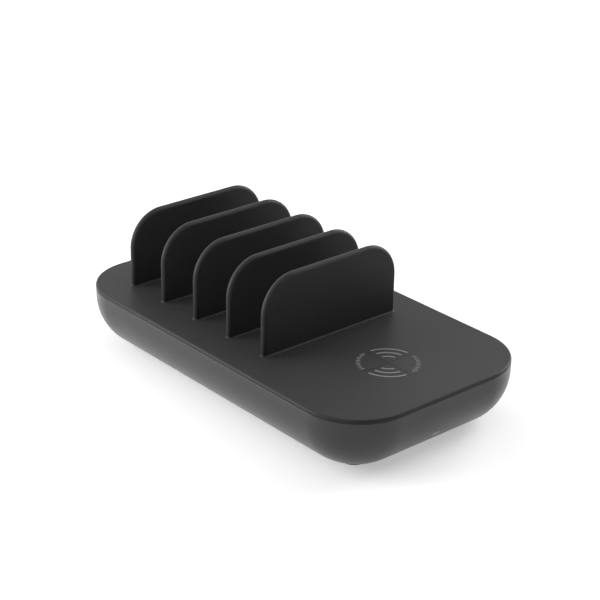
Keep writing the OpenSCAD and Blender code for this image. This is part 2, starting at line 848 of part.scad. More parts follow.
module coil_carrier() {
    notch_y = pad_y - coil_end_out + coil_wire_r + hole_clear;
    color([0.75, 0.75, 0.75])
        difference() {
            translate([0, 0, carrier_z])
                linear_extrude(carrier_t)
                    difference() {
                        translate([0, pad_y])
                            rounded_rect(carrier_side, carrier_side, carrier_corner_r);
                        boss_room(cover_boss_r);
                    }
            for (sx = [-1, 1], sy = [-1, 1])
                translate([sx * carrier_screw_at, pad_y + sy * carrier_screw_at, carrier_z - cut])
                    cylinder(h = carrier_t + 2 * cut, r = carrier_screw_r + hole_clear);
            translate([-coil_notch_w / 2, notch_y - carrier_side, carrier_z - cut])
                cube([coil_notch_w, carrier_side, carrier_t + 2 * cut]);
        }
}

module foot(sx, sy) {
    color([0.1, 0.1, 0.1])
        translate([sx * foot_x, sy * foot_y, 0])
            rotate_extrude()
                polygon([
                    [0, 0], [foot_r - foot_edge, 0], [foot_r, foot_edge],
                    [foot_r, foot_proud + foot_recess], [0, foot_proud + foot_recess]
                ]);
}

// A screw that points down, its head's underside at the origin, with a cross cut in the head
module screw(r, l, head_r, head_h) {
    cross = head_r * recess_w_share;
    difference() {
        union() {
            translate([0, 0, -l])
                cylinder(h = l, r = r);
            cylinder(h = head_h, r = head_r);
        }
        for (turn = [0, 90])
            rotate(turn)
                translate([-head_r / 2, -cross / 2, head_h / 2])
                    cube([head_r, cross, head_h]);
    }
}

module case_screws() {
    color([0.3, 0.3, 0.3])
        for (at = boss_places)
            translate([at[0], at[1], case_seat_z])
                mirror([0, 0, 1])
                    screw(case_screw_r, case_screw_l, case_head_r, case_head_h);
}

module board_screws() {
    color([0.6, 0.6, 0.6]) {
        for (at = main_post_places)
            translate([at[0], at[1], main_top_z])
                screw(board_screw_r, board_screw_l, small_head_r, small_head_h);
        for (at = pad_post_places)
            translate([at[0], at[1], pad_top_z])
                screw(board_screw_r, board_screw_l, small_head_r, small_head_h);
    }
}

module carrier_screws() {
    color([0.6, 0.6, 0.6])
        for (sx = [-1, 1], sy = [-1, 1])
            translate([sx * carrier_screw_at, pad_y + sy * carrier_screw_at, carrier_z])
                mirror([0, 0, 1])
                    screw(carrier_screw_r, carrier_screw_l, small_head_r, small_head_h);
}

top_cover();
lower_shell();
pad_mark();
indicator_lens();
indicator_led();
main_board();
for (n = [1:1:wide_outlet_count]) {
    wide_outlet_shell(n - 1);
    wide_outlet_insert(n - 1);
}
for (n = [1:1:oval_outlet_count]) {
    oval_outlet_shell(wide_outlet_count + n - 1);
    oval_outlet_insert(wide_outlet_count + n - 1);
}
power_inlet_housing();
power_inlet_pin();
input_capacitor(0);  // input_capacitor_1
input_capacitor(1);  // input_capacitor_2
for (n = [1:slot_count]) {
    output_capacitor(n - 1);
    inductor(n - 1);
}
control_chips();
link_socket(main_link_y, main_top_z);  // main_link_socket
link_ribbon();
link_socket(pad_link_y, pad_top_z);  // pad_link_socket
pad_board();
pad_chips();
charging_coil();
ferrite_sheet();
coil_carrier();
foot(-1, -1);  // front_left_foot
foot(1, -1);  // front_right_foot
foot(-1, 1);  // rear_left_foot
foot(1, 1);  // rear_right_foot
case_screws();
board_screws();
carrier_screws();
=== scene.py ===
"""Looks for a desk charging stand: a low rounded base with five upright dividers and a flat charging pad.

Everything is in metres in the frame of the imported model: +Z up, the pad end at -Y, the outlets on +X.
"""
import json

import bpy
import numpy as np
from mathutils import Matrix, Vector
from mathutils.geometry import tessellate_polygon

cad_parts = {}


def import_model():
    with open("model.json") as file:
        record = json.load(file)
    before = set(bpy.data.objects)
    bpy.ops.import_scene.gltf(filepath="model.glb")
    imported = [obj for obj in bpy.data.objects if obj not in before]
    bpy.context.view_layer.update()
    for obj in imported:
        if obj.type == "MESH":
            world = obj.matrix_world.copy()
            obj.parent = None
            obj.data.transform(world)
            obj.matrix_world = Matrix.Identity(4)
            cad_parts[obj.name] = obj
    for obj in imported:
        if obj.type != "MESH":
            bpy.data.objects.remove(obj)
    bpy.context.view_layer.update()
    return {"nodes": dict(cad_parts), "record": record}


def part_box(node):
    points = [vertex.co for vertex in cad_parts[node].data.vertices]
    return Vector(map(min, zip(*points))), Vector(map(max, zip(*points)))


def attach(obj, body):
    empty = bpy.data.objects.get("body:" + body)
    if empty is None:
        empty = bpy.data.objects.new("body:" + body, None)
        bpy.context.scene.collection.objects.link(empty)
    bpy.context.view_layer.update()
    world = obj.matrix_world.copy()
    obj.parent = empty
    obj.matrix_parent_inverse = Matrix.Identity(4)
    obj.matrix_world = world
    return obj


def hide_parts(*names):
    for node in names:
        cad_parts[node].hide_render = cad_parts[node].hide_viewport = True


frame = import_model()
NODES = frame["nodes"]
MM = 0.001

# Sizes that the frame doesn't give by itself
BASE_CORNER_R = 29.7 * MM
SIDE_STRAIGHT_H = 4 * MM
UNDERSIDE_INSET = 17.2 * MM
SHELL_WALL = 2.2 * MM
SHELL_FLOOR = 2.4 * MM
SEAM_CHAMFER = 0.1 * MM
COVER_EDGE_H = 2.1 * MM
COVER_EDGE_R = 1 * MM
LIP_H = 2.5 * MM
LIP_T = 1.4 * MM
LIP_GAP = 0.2 * MM
DIVIDER_W = 82.7 * MM
DIVIDER_H = 38.2 * MM
DIVIDER_T = 3.6 * MM
DIVIDER_CORNER_R = 18.5 * MM
DIVIDER_FILLET_R = 0.9 * MM
DIVIDER_COUNT = 5
SLOT_PITCH = 25.5 * MM
REAR_MARGIN = 27.6 * MM
PORT_CLEAR = 0.3 * MM
SEAT_CLEAR = 0.1 * MM
LIGHT_W = 4.7 * MM
LIGHT_H = 1.3 * MM
LIGHT_X = -2.4 * MM
LIGHT_Z = 11.7 * MM
MARK_RADII = [6.4 * MM, 10.3 * MM, 14.1 * MM]
MARK_LINE_W = 0.9 * MM
MARK_GAP = 2 * MM
MARK_CROSS_W = 0.4 * MM
MARK_SCALE_R = 13.9 * MM
MARK_LONG_TICK = 2.4 * MM
MARK_SHORT_TICK = 1.5 * MM
MARK_TICK_W = 0.5 * MM
MARK_TICKS = 12
MARK_TICK_DEGREES = 6
FOOT_RECESS = 1 * MM
SCREW_HOLE_R = 3 * MM
SCREW_SEAT_H = 4 * MM
SCREW_SPAN = 7 * MM
CASE_BORE_R = 1.7 * MM
CASE_PILOT_R = 1.55 * MM
CASE_PILOT_SPARE = 0.5 * MM
COVER_BOSS_R = 3.6 * MM
SHELL_BOSS_R = 4.6 * MM
SHELL_BOSS_H = 6.1 * MM
POST_R = 3 * MM
POST_ROOT = 0.6 * MM
POST_PILOT_R = 1.15 * MM
CARRIER_BOSS_R = 2.4 * MM
CARRIER_PILOT_R = 0.95 * MM
PILOT_SPARE = 0.05 * MM
COIL_TURN_W = 1.3 * MM

# How finely the surfaces are divided
SIDE_STEP = 12 * MM
CORNER_STEPS = 24
ROUND_STEPS = 8
FLANK_STEPS = 30
FLANK_ROW_MIN = 0.3 * MM
RIM_STEPS = 16
DIVIDER_ARC_STEPS = 20
DIVIDER_STEPS_ACROSS = 5
DIVIDER_STEPS_UP = 3
CIRCLE_STEPS = 40
MARK_ARC_STEPS = 28
MARK_TICK_ARC_STEPS = 2

# How near two places count as the same, and the least cosine at which a surface faces squarely one way
SAME = 1e-7
SQUARE_ON = 0.999
FACING_UP = 0.9

# The part of a noise's range that a speckle draws out to its full range, and the boards' track pattern
SPECKLE_LOW = 0.36
SPECKLE_HIGH = 0.64
TRACK_PITCH = 4 * MM
TRACK_REACH = 0.3

# Half the floor's side, the brightness of the floor and the sky, where 1 is white, and how far from the
# middle the floor's own brightness starts to rise and is full
FLOOR_HALF = 8.0
FLOOR_WHITE = 0.8
FLOOR_LIFT = 0.43
SKY_LIGHT = 0.01
LIFT_FROM = 0.2
LIFT_TO = 0.55

# The photograph's view: angles in degrees, lens and sensor in millimetres
CAMERA_AZIMUTH = -41.02774
CAMERA_ELEVATION = 24.59581
CAMERA_ROLL = 1.00267
CAMERA_TARGET = np.array([-3.6868, -7.6378, 44.4505]) * MM
CAMERA_DISTANCE = 813.86527 * MM
CAMERA_LENS = 102.368
CAMERA_SENSOR = 36
CAMERA_CLIP = 0.01

# Places read off the frame
SHELL_LOW, SHELL_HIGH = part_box("lower_shell")
HALF_W = SHELL_HIGH.x
HALF_L = SHELL_HIGH.y
SHELL_Z = SHELL_LOW.z
SEAM_Z = SHELL_HIGH.z
SIDE_Z = SEAM_Z - SIDE_STRAIGHT_H
FLOOR_Z = SHELL_Z + SHELL_FLOOR
TOP_Z = SEAM_Z + COVER_EDGE_H
FLANK_H = SIDE_Z - SHELL_Z
FLANK_R = (FLANK_H ** 2 + UNDERSIDE_INSET ** 2) / (2 * UNDERSIDE_INSET)
FOOT_R = (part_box("front_left_foot")[1].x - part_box("front_left_foot")[0].x) / 2 + SEAT_CLEAR
FEET = ["front_left_foot", "front_right_foot", "rear_left_foot", "rear_right_foot"]
OUTLETS = ["wide_outlet_shell_1", "wide_outlet_shell_2", "oval_outlet_shell_1", "oval_outlet_shell_2"]
MARK_MIDDLE = np.array([0, (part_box("pad_mark")[0].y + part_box("pad_mark")[1].y) / 2])
DIVIDER_YS = [HALF_L - REAR_MARGIN - i * SLOT_PITCH for i in range(DIVIDER_COUNT)]


class Skin:
    """Patches that become one closed mesh: points in one cell of a fine lattice become one vertex, and
    each face corner keeps the normal that its patch's formula gives, so rounds are smooth and edges crisp."""

    CELL = 1e-6
    CELL_START = 0.37

    def __init__(self):
        self.points, self.normals, self.faces = [], [], []
        self.count = 0

    def patch(self, points, normals, faces):
        """Adds points (n, 3), their normals (n, 3) or one normal, and faces as rows of indices that all turn
        the same way, the way that makes them look as their normals do."""
        points = np.asarray(points, float).reshape(-1, 3)
        normals = np.broadcast_to(np.asarray(normals, float), points.shape)
        faces = np.asarray(faces, int)
        corners = points[faces]
        across = np.cross(corners[:, 2] - corners[:, 0], corners[:, -1] - corners[:, 1])
        if faces.shape[1] == 3:
            across = np.cross(corners[:, 1] - corners[:, 0], corners[:, 2] - corners[:, 0])
        if np.sum(across * normals[faces].sum(1)) < 0:
            faces = faces[:, ::-1]
        self.points.append(points)
        self.normals.append(normals)
        self.faces.extend((faces + self.count).tolist())
        self.count += len(points)

    def grid(self, points, normals, around=False, keep=None):
        """A patch of quads over points (rows, columns, 3). Around closes each row, and keep is a mask
        (rows - 1, columns) of the quads that are there."""
        rows, columns = points.shape[:2]
        index = np.arange(rows * columns).reshape(rows, columns)
        right = np.roll(index, -1, axis=1)
        quads = np.stack([index[:-1], right[:-1], right[1:], index[1:]], axis=-1)
        if not around:
            quads = quads[:, :-1]
        if keep is not None:
            quads = quads[keep[:, :quads.shape[1]]]
        self.patch(points.reshape(-1, 3), np.broadcast_to(normals, points.shape).reshape(-1, 3),
                   quads.reshape(-1, 4))

    def plane(self, loops, z, up):
        """A level patch at height z between an outer loop (n, 2) and the loops of its holes."""
        flat = np.concatenate(loops)
        triangles = tessellate_polygon([[Vector((x, y, 0)) for x, y in loop] for loop in loops])
        points = np.column_stack([flat, np.full(len(flat), z)])
        self.patch(points, (0, 0, up), triangles)

    def build(self, name):
        """The finished object, riding on the root body."""
        points = np.concatenate(self.points)
        normals = np.concatenate(self.normals)
        keys = np.floor(points / self.CELL + self.CELL_START).astype(np.int64)
        _, first, same = np.unique(keys, axis=0, return_index=True, return_inverse=True)
        same = same.reshape(-1)
        mesh = bpy.data.meshes.new(name)
        mesh.from_pydata(points[first].tolist(), [], [same[face].tolist() for face in self.faces])
        mesh.normals_split_custom_set(normals[np.concatenate([np.asarray(f) for f in self.faces])].tolist())
        piece = bpy.data.objects.new(name, mesh)
        bpy.context.scene.collection.objects.link(piece)
        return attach(piece, "root")


def spread(low, high, step, stops=()):
    """Stations from low to high about a step apart, with every stop among them."""
    ends = sorted({low, high, *[s for s in stops if low < s < high]})
    parts = [np.linspace(a, b, max(1, int(np.ceil((b - a) / step))) + 1)[:-1] for a, b in zip(ends, ends[1:])]
    return np.concatenate(parts + [[high]])


def base_outline(x_stops=(), y_stops=()):
    """The base's plan, counter-clockwise: points at the side of the base and their outward normals. A
    plan moved in by an inset is the points less the inset times the normals."""
    core_x, core_y = HALF_W - BASE_CORNER_R, HALF_L - BASE_CORNER_R
    ys = spread(-core_y, core_y, SIDE_STEP, y_stops)
    xs = spread(-core_x, core_x, SIDE_STEP, x_stops)
    turn = np.linspace(0, np.pi / 2, CORNER_STEPS + 1)[1:-1]
    points, normals = [], []

    def side(across, along, normal):
        """A straight side, between two corners."""
        points.append(np.column_stack([across, along]))
        normals.append(np.broadcast_to(np.array(normal, float), (len(along), 2)))

    def corner(x, y, start):
        """A quarter circle round a corner's middle, without its ends."""
        away = np.column_stack([np.cos(turn + start), np.sin(turn + start)])
        points.append(np.array([x, y]) + BASE_CORNER_R * away)
        normals.append(away)

    side(np.full(len(ys), HALF_W), ys, (1, 0))
    corner(core_x, core_y, 0)
    side(xs[::-1], np.full(len(xs), HALF_L), (0, 1))
    corner(-core_x, core_y, np.pi / 2)
    side(np.full(len(ys), -HALF_W), ys[::-1], (-1, 0))
    corner(-core_x, -core_y, np.pi)
    side(xs, np.full(len(xs), -HALF_L), (0, -1))
    corner(core_x, -core_y, 3 * np.pi / 2)
    return np.concatenate(points), np.concatenate(normals)


def swept(plan, insets, heights, tilts):
    """Points and normals (rows, columns, 3) of an edge section carried round a plan: each row is the plan
    moved in by its inset at its height, and tilt is how far the surface looks up, from -90 to 90 degrees."""
    outline, away = plan
    insets, heights, tilts = (np.asarray(v, float)[:, None] for v in (insets, heights, tilts))
    flat = outline[None] - insets[..., None] * away[None]
    points = np.dstack([flat, np.broadcast_to(heights, flat.shape[:2])])
    level = np.cos(tilts)[..., None] * away[None]
    normals = np.dstack([level, np.broadcast_to(np.sin(tilts), flat.shape[:2])])
    return points, normals


def circle(x, y, r):
    """A closed round loop (n, 2)."""
    turn = np.arange(CIRCLE_STEPS) / CIRCLE_STEPS * 2 * np.pi
    return np.column_stack([x + r * np.cos(turn), y + r * np.sin(turn)])


def ring_wall(skin, loop, low_z, high_z, inwards):
    """An upright wall on a closed loop (n, 2). Inwards is -1 where it faces the middle, as in a hole."""
    middle = loop.mean(0)
    away = inwards * (loop - middle) / np.linalg.norm(loop - middle, axis=1)[:, None]
    points = np.stack([np.column_stack([loop, np.full(len(loop), z)]) for z in (low_z, high_z)])
    normals = np.broadcast_to(np.column_stack([away, np.zeros(len(loop))]), points.shape)
    skin.grid(points, normals, around=True)


def boss(skin, x, y, r, foot_z, end_z, bore_r, bore_z, through=False):
    """A round boss from foot_z up or down to end_z, with a bore from its end to bore_z, where the bore
    closes unless it goes through. Returns the loop of the boss's foot."""
    loop, bore = circle(x, y, r), circle(x, y, bore_r)
    out = 1 if end_z > foot_z else -1
    ring_wall(skin, loop, foot_z, end_z, 1)
    skin.plane([loop, bore], end_z, out)
    ring_wall(skin, bore, end_z, bore_z, -1)
    if not through:
        skin.plane([bore], bore_z, out)
    return loop


def screws(node):
    """The x, y, low z and high z of each separate screw in a node."""
    piece = NODES[node]
    groups = []
    for vertex in piece.data.vertices:
        at = piece.matrix_world @ vertex.co
        near = [group for group in groups if (group[0].xy - at.xy).length < SCREW_SPAN]
        if near:
            near[0].append(at)
        else:
            groups.append([at])
    found = []
    for group in groups:
        low, high = np.min(group, axis=0), np.max(group, axis=0)
        found.append((*((low + high) / 2)[:2], low[2], high[2]))
    return found


def divider(skin, y):
    """One divider, moulded in one with the cover. Its rim is a half round of its thickness carried up one
    side, over the two corner arcs and down the other; its faces are flat between the rims; at its foot a
    quarter hollow runs down to the cover. Returns the loop in which the hollow meets the cover."""
    half_t = DIVIDER_T / 2
    end_x = DIVIDER_W / 2 - half_t
    flat_x = DIVIDER_W / 2 - DIVIDER_CORNER_R
    arc_r = DIVIDER_CORNER_R - half_t
    foot_z = TOP_Z + DIVIDER_FILLET_R
    shoulder_z = TOP_Z + DIVIDER_H - DIVIDER_CORNER_R
    shares = np.linspace(-1, 1, DIVIDER_STEPS_ACROSS + 1)
    up = np.linspace(foot_z, shoulder_z, DIVIDER_STEPS_UP + 1)
    turn = np.linspace(0, np.pi / 2, DIVIDER_ARC_STEPS + 1)[1:]
    left_x = -np.concatenate([np.full(len(up), end_x), flat_x + arc_r * np.cos(turn)])
    left_z = np.concatenate([up, shoulder_z + arc_r * np.sin(turn)])
    left_n = np.concatenate([np.tile([-1.0, 0.0], (len(up), 1)),
                             np.column_stack([-np.cos(turn), np.sin(turn)])])
    top_x = shares[1:-1] * flat_x
    path = np.concatenate([
        np.column_stack([left_x, left_z]), np.column_stack([top_x, np.full(len(top_x), left_z[-1])]),
        np.column_stack([-left_x, left_z])[::-1]])
    away = np.concatenate([left_n, np.tile([0.0, 1.0], (len(top_x), 1)), (left_n * [-1, 1])[::-1]])
    swing = np.linspace(-np.pi / 2, np.pi / 2, RIM_STEPS + 1)
    level = np.cos(swing)[None, :, None] * away[:, None]
    side = np.broadcast_to(np.sin(swing)[None, :], level.shape[:2])
    normals = np.stack([level[..., 0], side, level[..., 1]], axis=-1)
    centre = np.stack([path[:, 0], np.full(len(path), y), path[:, 1]], axis=-1)
    skin.grid(centre[:, None] + half_t * normals, normals)
    for face in (-1, 1):
        x = -left_x[:, None] * shares[None]
        z = np.broadcast_to(left_z[:, None], x.shape)
        skin.grid(np.stack([x, np.full(x.shape, y + face * half_t), z], axis=-1), (0, face, 0))
    turn = swing[1:-1]
    front = np.column_stack([shares * end_x, np.full(len(shares), y - half_t)])
    right = np.column_stack([end_x + half_t * np.cos(turn), y + half_t * np.sin(turn)])
    half_turned = [0, 2 * y]
    loop = np.concatenate([front, right, half_turned - front, half_turned - right])
    front_n = np.tile([0.0, -1.0], (len(front), 1))
    right_n = np.column_stack([np.cos(turn), np.sin(turn)])
    level = np.concatenate([front_n, right_n, -front_n, -right_n])
    dip = np.linspace(0, np.pi / 2, ROUND_STEPS + 1)
    insets = -DIVIDER_FILLET_R * (1 - np.cos(dip))
    points, normals = swept((loop, level), insets, foot_z - DIVIDER_FILLET_R * np.sin(dip), dip)
    skin.grid(points, normals, around=True)
    return points[-1, :, :2]


def top_cover():
    """The cover: an edge section with a chamfer at the seam and a round above it carried round the plan,
    the flat top between that edge and the dividers' feet, and inside a flat underside with its lip and the
    bosses for the case screws and the coil carrier's screws."""
    skin = Skin()
    plan = base_outline()
    turn = np.linspace(0, np.pi / 2, ROUND_STEPS + 1)
    edge_z = TOP_Z - COVER_EDGE_R
    insets = COVER_EDGE_R * (1 - np.cos(turn))
    points, normals = swept(plan, insets, edge_z + COVER_EDGE_R * np.sin(turn), turn)
    skin.grid(points, normals, around=True)
    skin.plane([points[-1, :, :2]] + [divider(skin, y) for y in DIVIDER_YS], TOP_Z, 1)
    skin.grid(*swept(plan, [0, 0], [SEAM_Z + SEAM_CHAMFER, edge_z], [0, 0]), around=True)
    skin.grid(*swept(plan, [SEAM_CHAMFER, 0], [SEAM_Z, SEAM_Z + SEAM_CHAMFER], [-np.pi / 4] * 2), around=True)
    lip_out = SHELL_WALL + LIP_GAP
    lip_in = lip_out + LIP_T
    lip_z = SEAM_Z - LIP_H
    skin.grid(*swept(plan, [SEAM_CHAMFER, lip_out], [SEAM_Z] * 2, [-np.pi / 2] * 2), around=True)
    skin.grid(*swept(plan, [lip_out] * 2, [SEAM_Z, lip_z], [0, 0]), around=True)
    skin.grid(*swept(plan, [lip_out, lip_in], [lip_z] * 2, [-np.pi / 2] * 2), around=True)
    points, normals = swept(plan, [lip_in] * 2, [lip_z, SEAM_Z], [0, 0])
    skin.grid(points, -normals, around=True)
    split_z = FLOOR_Z + SHELL_BOSS_H
    carrier_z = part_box("coil_carrier")[1].z
    feet = [boss(skin, x, y, COVER_BOSS_R, SEAM_Z, split_z, CASE_PILOT_R, tip_z + CASE_PILOT_SPARE)
            for x, y, _, tip_z in screws("case_screws")]
    feet += [boss(skin, x, y, CARRIER_BOSS_R, SEAM_Z, carrier_z, CARRIER_PILOT_R, tip_z + PILOT_SPARE)
             for x, y, _, tip_z in screws("carrier_screws")]
    skin.plane([points[-1, :, :2]] + feet, SEAM_Z, -1)
    return skin.build("top_cover_skin")


def arc_strip(skin, low_r, high_r, start, end, low_z, high_z, steps):
    """A flat strip bent round the mark's middle: the rectangle between two radii and two heights, carried
    round an arc between two angles in degrees, with its two ends closed."""
    turn = np.radians(np.linspace(start, end, steps + 1))
    level = np.column_stack([np.cos(turn), np.sin(turn)])

    def row(r, z):
        """The arc at a radius and a height."""
        return np.column_stack([MARK_MIDDLE + r * level, np.full(len(turn), z)])

    inner_low, outer_low, outer_high, inner_high = (
        row(r, z) for r, z in ((low_r, low_z), (high_r, low_z), (high_r, high_z), (low_r, high_z)))
    side = np.column_stack([level, np.zeros(len(turn))])
    skin.grid(np.stack([inner_low, outer_low]), (0, 0, -1))
    skin.grid(np.stack([inner_high, outer_high]), (0, 0, 1))
    skin.grid(np.stack([outer_low, outer_high]), np.stack([side, side]))
    skin.grid(np.stack([inner_low, inner_high]), -np.stack([side, side]))
    along = np.column_stack([-side[:, 1], side[:, 0], side[:, 2]])
    for end_at, facing in ((0, -1), (-1, 1)):
        ring = [inner_low[end_at], outer_low[end_at], outer_high[end_at], inner_high[end_at]]
        skin.patch(ring, facing * along[end_at], [[0, 1, 2, 3]])


def pad_mark():
    """The print on the pad: pairs of arcs that end at a level gap from the two axes through its middle, so
    the inner arcs turn through less, and a scale of long and short ticks on the other two sides."""
    skin = Skin()
    low_z, high_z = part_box("pad_mark")[0].z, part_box("pad_mark")[1].z
    for r in MARK_RADII:
        spare = np.degrees(np.arcsin(MARK_GAP / r))
        for start in (0, 180):
            arc_strip(skin, r - MARK_LINE_W / 2, r + MARK_LINE_W / 2, start + spare, start + 90 - spare,
                      low_z, high_z, MARK_ARC_STEPS)
    half_tick = np.degrees(MARK_TICK_W / MARK_SCALE_R) / 2
    for middle in (135, 315):
        for k in range(MARK_TICKS):
            angle = middle + (k - (MARK_TICKS - 1) / 2) * MARK_TICK_DEGREES
            half_l = (MARK_LONG_TICK if k % 2 else MARK_SHORT_TICK) / 2
            arc_strip(skin, MARK_SCALE_R - half_l, MARK_SCALE_R + half_l,
                      angle - half_tick, angle + half_tick, low_z, high_z, MARK_TICK_ARC_STEPS)
    return skin.build("pad_mark_print")


def flank_tilt(z, wall):
    """The angle down the round flank at height z, for the surface that lies a wall inside it: the arcsine
    of the drop below the side over the round's radius."""
    return np.arcsin(np.clip((SIDE_Z - z) / (FLANK_R - wall), 0, 1))


def flank_rows(wall, z):
    """Inset, height and tilt of the flank at heights z: upright above the side's height, and below it a
    round whose middle lies its radius inside the base."""
    tilt = flank_tilt(z, wall)
    inset = FLANK_R - (FLANK_R - wall) * np.cos(tilt)
    return inset, z, -tilt


def shell_windows():
    """The rectangles cut through the flank: side, low and high place along it, low and high z."""
    def mouth(side, name, axis):
        """The rectangle round an outlet or the inlet."""
        low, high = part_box(name)
        return side, low[axis] - PORT_CLEAR, high[axis] + PORT_CLEAR, low.z - PORT_CLEAR, high.z + PORT_CLEAR

    half_w, half_h = LIGHT_W / 2 + SEAT_CLEAR, LIGHT_H / 2 + SEAT_CLEAR
    light = ("front", LIGHT_X - half_w, LIGHT_X + half_w, LIGHT_Z - half_h, LIGHT_Z + half_h)
    return [mouth("right", name, 1) for name in OUTLETS] + [mouth("rear", "power_inlet_housing", 0), light]


def lower_shell():
    """The lower shell: an upright band and a round flank carried round the plan, outside and a wall
    inside it, with its windows left out of both and walled between them, a flat floor, the feet's
    recesses, the case screws' seats and bosses, and the posts that carry the boards, whose roots lie in
    the floor and the flank."""
    skin = Skin()
    windows = shell_windows()
    x_stops = [v for side, a, b, _, _ in windows if side != "right" for v in (a, b)]
    y_stops = [v for side, a, b, _, _ in windows if side == "right" for v in (a, b)]
    plan = base_outline(x_stops, y_stops)
    outline, away = plan
    z_stops = [v for window in windows for v in window[3:]] + [FLOOR_Z]
    chamfer_z = SEAM_Z - SEAM_CHAMFER
    tilts = np.linspace(0, flank_tilt(SHELL_Z, 0), FLANK_STEPS + 1)[1:-1]
    heights = [SIDE_Z - FLANK_R * np.sin(tilt) for tilt in tilts]
    heights = [z for z in heights if min(abs(z - stop) for stop in z_stops) > FLANK_ROW_MIN]
    outer_z = np.array(sorted({SHELL_Z, SIDE_Z, chamfer_z, *z_stops, *heights}, reverse=True))
    inner_z = np.append(outer_z[outer_z > FLOOR_Z + SEAT_CLEAR], FLOOR_Z)
    faces = {
        "right": away[:, 0] > SQUARE_ON, "rear": away[:, 1] > SQUARE_ON, "front": away[:, 1] < -SQUARE_ON}

    def cut_mask(z):
        """True for the quads between heights z that lie outside every window."""
        keep = np.ones((len(z) - 1, len(outline)), bool)
        mid_z = (z[1:] + z[:-1]) / 2
        mid = (outline + np.roll(outline, -1, axis=0)) / 2
        for side, a, b, low_z, high_z in windows:
            along = mid[:, 1] if side == "right" else mid[:, 0]
            cut = faces[side] & (along > a) & (along < b)
            keep &= ~(((mid_z > low_z) & (mid_z < high_z))[:, None] & cut[None])
        return keep

    outer, outer_n = swept(plan, *flank_rows(0, outer_z))
    inner, inner_n = swept(plan, *flank_rows(SHELL_WALL, inner_z))
    outer_keep, inner_keep = cut_mask(outer_z), cut_mask(inner_z)
    skin.grid(outer, outer_n, around=True, keep=outer_keep)
    skin.grid(inner, -inner_n, around=True, keep=inner_keep)
    skin.grid(*swept(plan, [0, SEAM_CHAMFER], [chamfer_z, SEAM_Z], [np.pi / 4] * 2), around=True)
    skin.grid(*swept(plan, [SEAM_CHAMFER, SHELL_WALL], [SEAM_Z] * 2, [np.pi / 2] * 2), around=True)
    points, normals = swept(plan, [SHELL_WALL] * 2, [chamfer_z, SEAM_Z], [0, 0])
    skin.grid(points, -normals, around=True)
    for window in windows:
        window_walls(skin, window, outer, inner, outer_z, inner_z)
    holes, stands = [], []
    foot_ys = [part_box(name)[0].y + FOOT_R for name in FEET]
    seat_z = SHELL_Z + SCREW_SEAT_H
    recess_z = SHELL_Z + FOOT_RECESS
    for x, y, _, _ in screws("case_screws"):
        head, bore = circle(x, y, SCREW_HOLE_R), circle(x, y, CASE_BORE_R)
        skin.plane([head, bore], seat_z, -1)
        stands.append(boss(
            skin, x, y, SHELL_BOSS_R, FLOOR_Z, FLOOR_Z + SHELL_BOSS_H, CASE_BORE_R, seat_z, through=True))
        if min(abs(y - foot_y) for foot_y in foot_ys) < SCREW_SPAN:
            recess = circle(x, y, FOOT_R)
            ring_wall(skin, recess, SHELL_Z, recess_z, -1)
            skin.plane([recess, head], recess_z, -1)
            ring_wall(skin, head, recess_z, seat_z, -1)
            holes.append(recess)
        else:
            ring_wall(skin, head, SHELL_Z, seat_z, -1)
            holes.append(head)
    root_z = FLOOR_Z - POST_ROOT
    for x, y, tip_z, _ in screws("board_screws"):
        board = "main_board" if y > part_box("main_board")[0].y else "pad_board"
        root = boss(skin, x, y, POST_R, root_z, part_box(board)[0].z, POST_PILOT_R, tip_z - PILOT_SPARE)
        skin.plane([root], root_z, -1)
    skin.plane([outer[-1, :, :2]] + holes, SHELL_Z, -1)
    skin.plane([inner[-1, :, :2]] + stands, FLOOR_Z, 1)
    return skin.build("lower_shell_skin")


def window_walls(skin, window, outer, inner, outer_z, inner_z):
    """The four walls of one window, from the outside of the flank straight through to its inside."""
    side, a, b, low_z, high_z = window
    axis = 1 if side == "right" else 0
    facing = {"right": (0, 1), "rear": (1, 1), "front": (1, -1)}[side]
    top_row = outer[0]
    on_side = np.isclose(top_row[:, facing[0]], facing[1] * np.abs(top_row[:, facing[0]]).max())
    columns = np.where(on_side & (top_row[:, axis] > a - SAME) & (top_row[:, axis] < b + SAME))[0]
    rows = np.where((outer_z > low_z - SAME) & (outer_z < high_z + SAME))[0]
    inner_rows = np.where((inner_z > low_z - SAME) & (inner_z < high_z + SAME))[0]
    out, back = outer[np.ix_(rows, columns)], inner[np.ix_(inner_rows, columns)]
    along = np.zeros(3)
    along[axis] = 1
    first, last = (1, -1) if out[0, 0, axis] < out[0, -1, axis] else (-1, 1)
    skin.grid(np.stack([out[:, 0], back[:, 0]]), first * along)
    skin.grid(np.stack([out[:, -1], back[:, -1]]), last * along)
    skin.grid(np.stack([out[0], back[0]]), (0, 0, -1))
    skin.grid(np.stack([out[-1], back[-1]]), (0, 0, 1))


class Socket:
    """A shader socket. Sums, products and powers of it add the Math nodes that work them out."""

    def __init__(self, shader, link):
        self.shader, self.link = shader, link

    def __add__(self, other):
        return self.shader.maths("ADD", self, other)

    def __radd__(self, other):
        return self.shader.maths("ADD", other, self)

    def __sub__(self, other):
        return self.shader.maths("SUBTRACT", self, other)

    def __rsub__(self, other):
        return self.shader.maths("SUBTRACT", other, self)

    def __mul__(self, other):
        return self.shader.maths("MULTIPLY", self, other)

    def __rmul__(self, other):
        return self.shader.maths("MULTIPLY", other, self)

    def __truediv__(self, other):
        return self.shader.maths("DIVIDE", self, other)

    def __pow__(self, other):
        return self.shader.maths("POWER", self, other)


